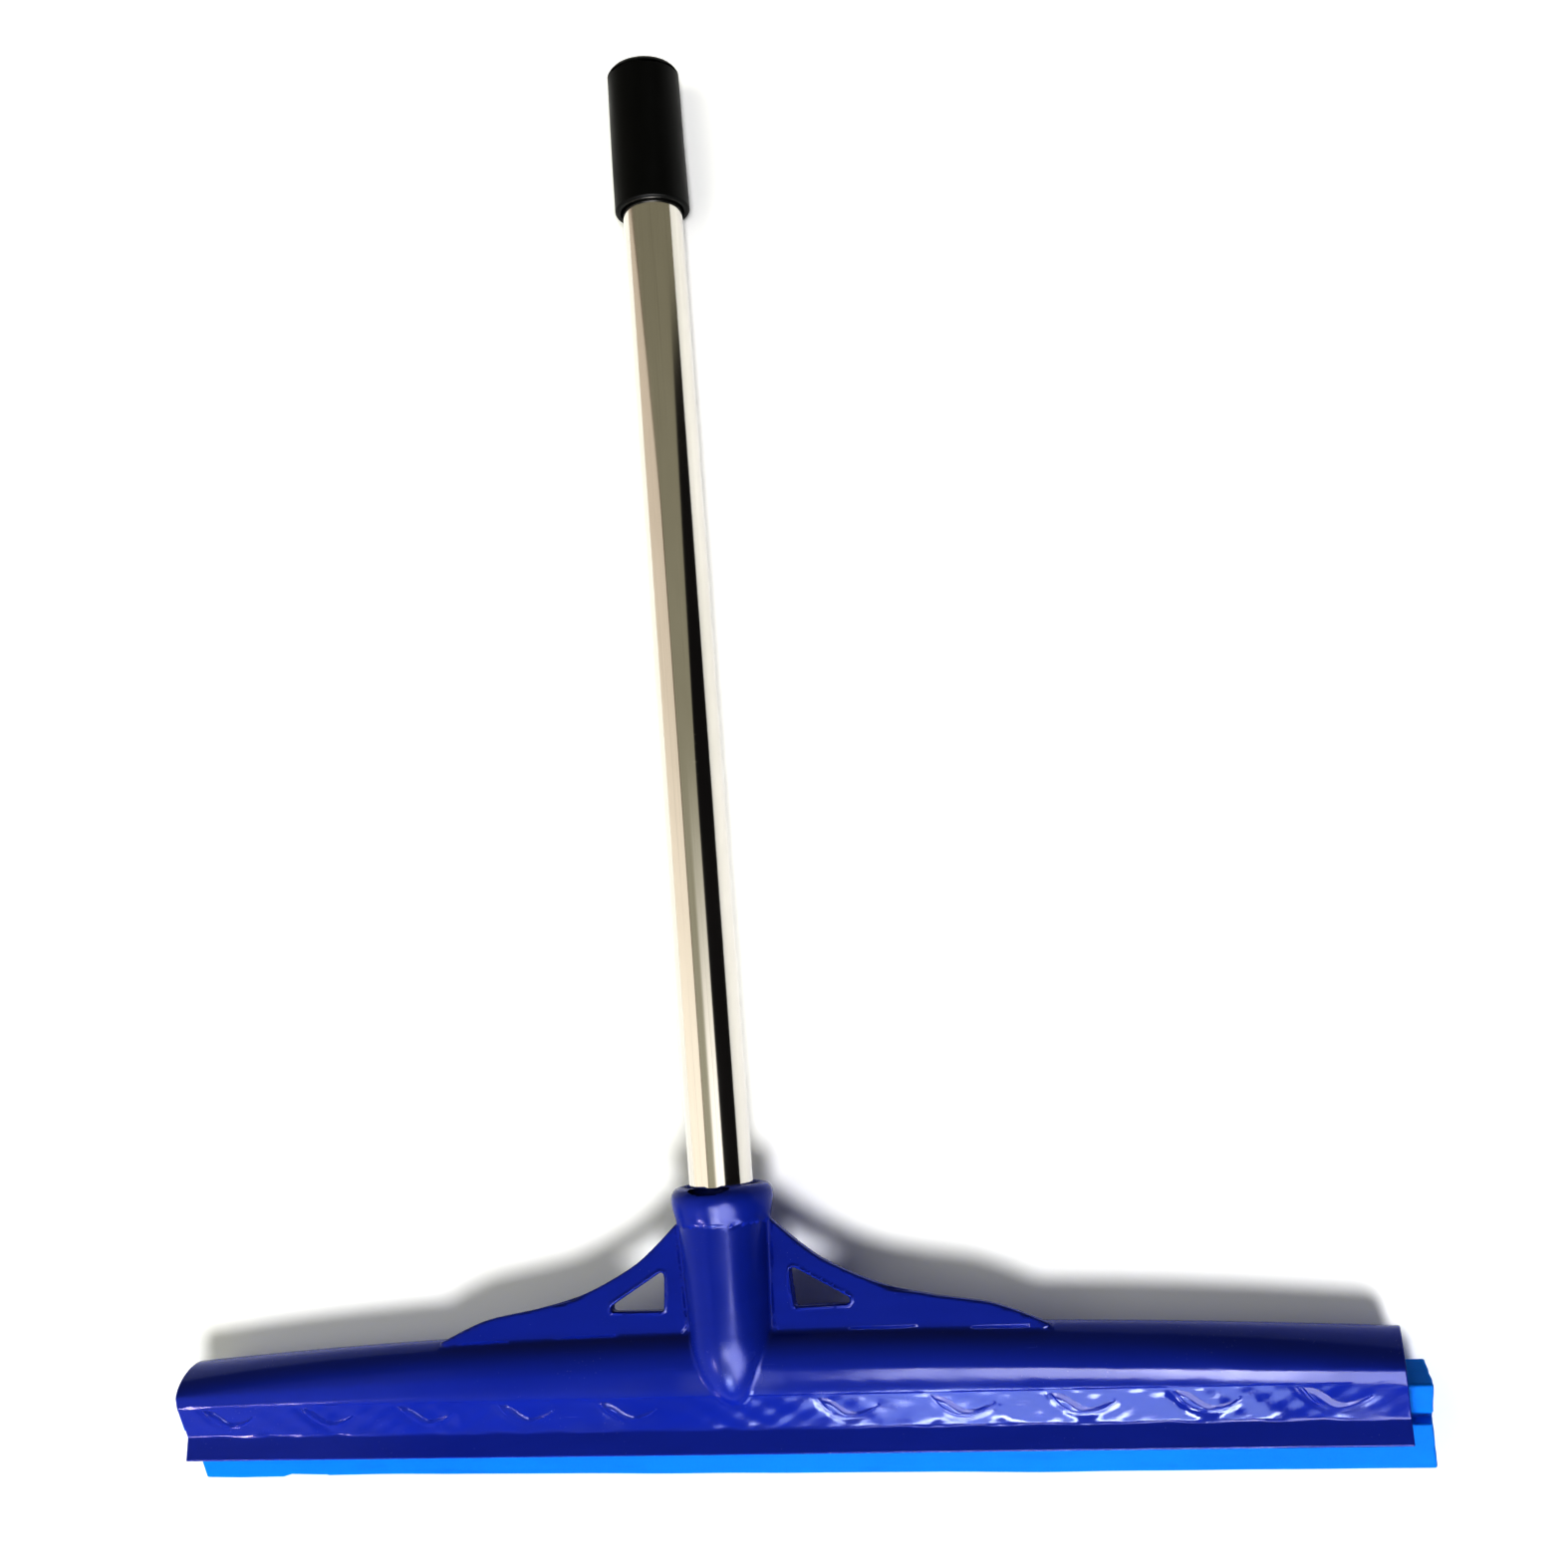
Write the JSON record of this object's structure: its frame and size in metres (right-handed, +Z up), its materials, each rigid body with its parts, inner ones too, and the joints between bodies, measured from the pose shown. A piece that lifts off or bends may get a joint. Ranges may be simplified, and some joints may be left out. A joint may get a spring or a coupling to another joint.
{
  "type": "floor squeegee",
  "caption": "Floor squeegee: arched moulded head with braced socket, slide-in double-lip foam insert, screw-in steel tube handle and grip cap.",
  "frame": {"origin": "on the ground under the middle of the bounding box, with the squeegee lying on its back", "axes": "+X along the head towards the end where the insert sticks out, +Y from the blade towards the grip, +Z up, out of the head's front side"},
  "size_m": [0.4636, 0.5334, 0.0477],
  "materials": {
    "head_plastic": "gloss",
    "foam": "matte",
    "ferrule_plastic": "satin",
    "tube_steel": "polished",
    "grip_plastic": "satin"
  },
  "bodies": {
    "head": {"head_moulding": "head_plastic"},
    "insert": {"foam_insert": "foam"},
    "ferrule": {"threaded_ferrule": "ferrule_plastic"},
    "handle": {"handle_tube": "tube_steel", "handle_grip": "grip_plastic"}
  },
  "joints": [
    {"name": "insert_slide", "type": "slide", "parent": "head", "child": "insert", "axis": [1, 0, 0], "range_m": [0, 0.45]},
    {"name": "handle_travel", "type": "slide", "parent": "head", "child": "ferrule", "axis": [0, 0.9994, -0.0356], "range_m": [0, 0.03]},
    {"name": "handle_turn", "type": "hinge", "parent": "ferrule", "child": "handle", "pos_m": [-0.00235, -0.21332, 0.03084], "axis": [0, 0.9994, -0.0356], "range_deg": [0, 2160]}
  ],
  "couplings": [
    {"joint": "handle_turn", "follows": "handle_travel", "rad_per_m": 1256.6}
  ]
}
